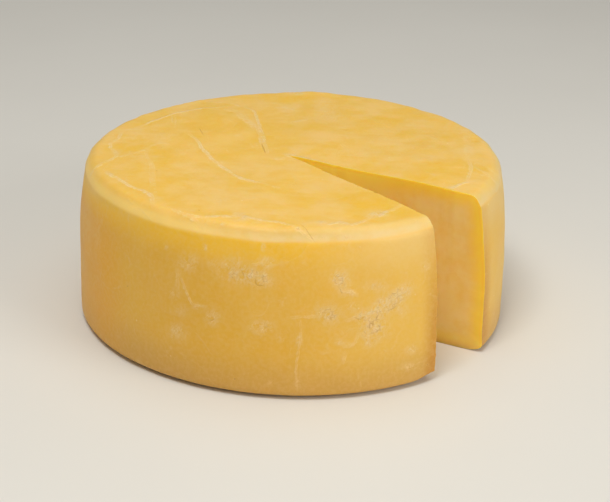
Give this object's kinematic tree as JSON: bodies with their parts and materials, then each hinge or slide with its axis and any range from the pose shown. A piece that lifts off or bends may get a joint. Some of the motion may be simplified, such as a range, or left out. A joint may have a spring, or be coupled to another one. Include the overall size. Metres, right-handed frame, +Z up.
{
  "type": "cheddar cheese wheel with a wedge cut out",
  "caption": "Whole round of yellow cheddar with softly rounded edges, standing on its flat base, cut open by a narrow wedge-shaped gap that runs from the rim to near its middle.",
  "frame": {"origin": "middle of the footprint, on the surface that the wheel stands on", "axes": "+Z up along the wheel's axis; -Y along the first cut face, with the cut opening from it towards +X"},
  "size_m": [0.3076, 0.3054, 0.1182],
  "materials": {
    "cheddar": "satin yellow cheese rind, paler paste on the cut faces"
  },
  "bodies": {
    "root": {"cheese_wheel": "cheddar"}
  },
  "joints": []
}
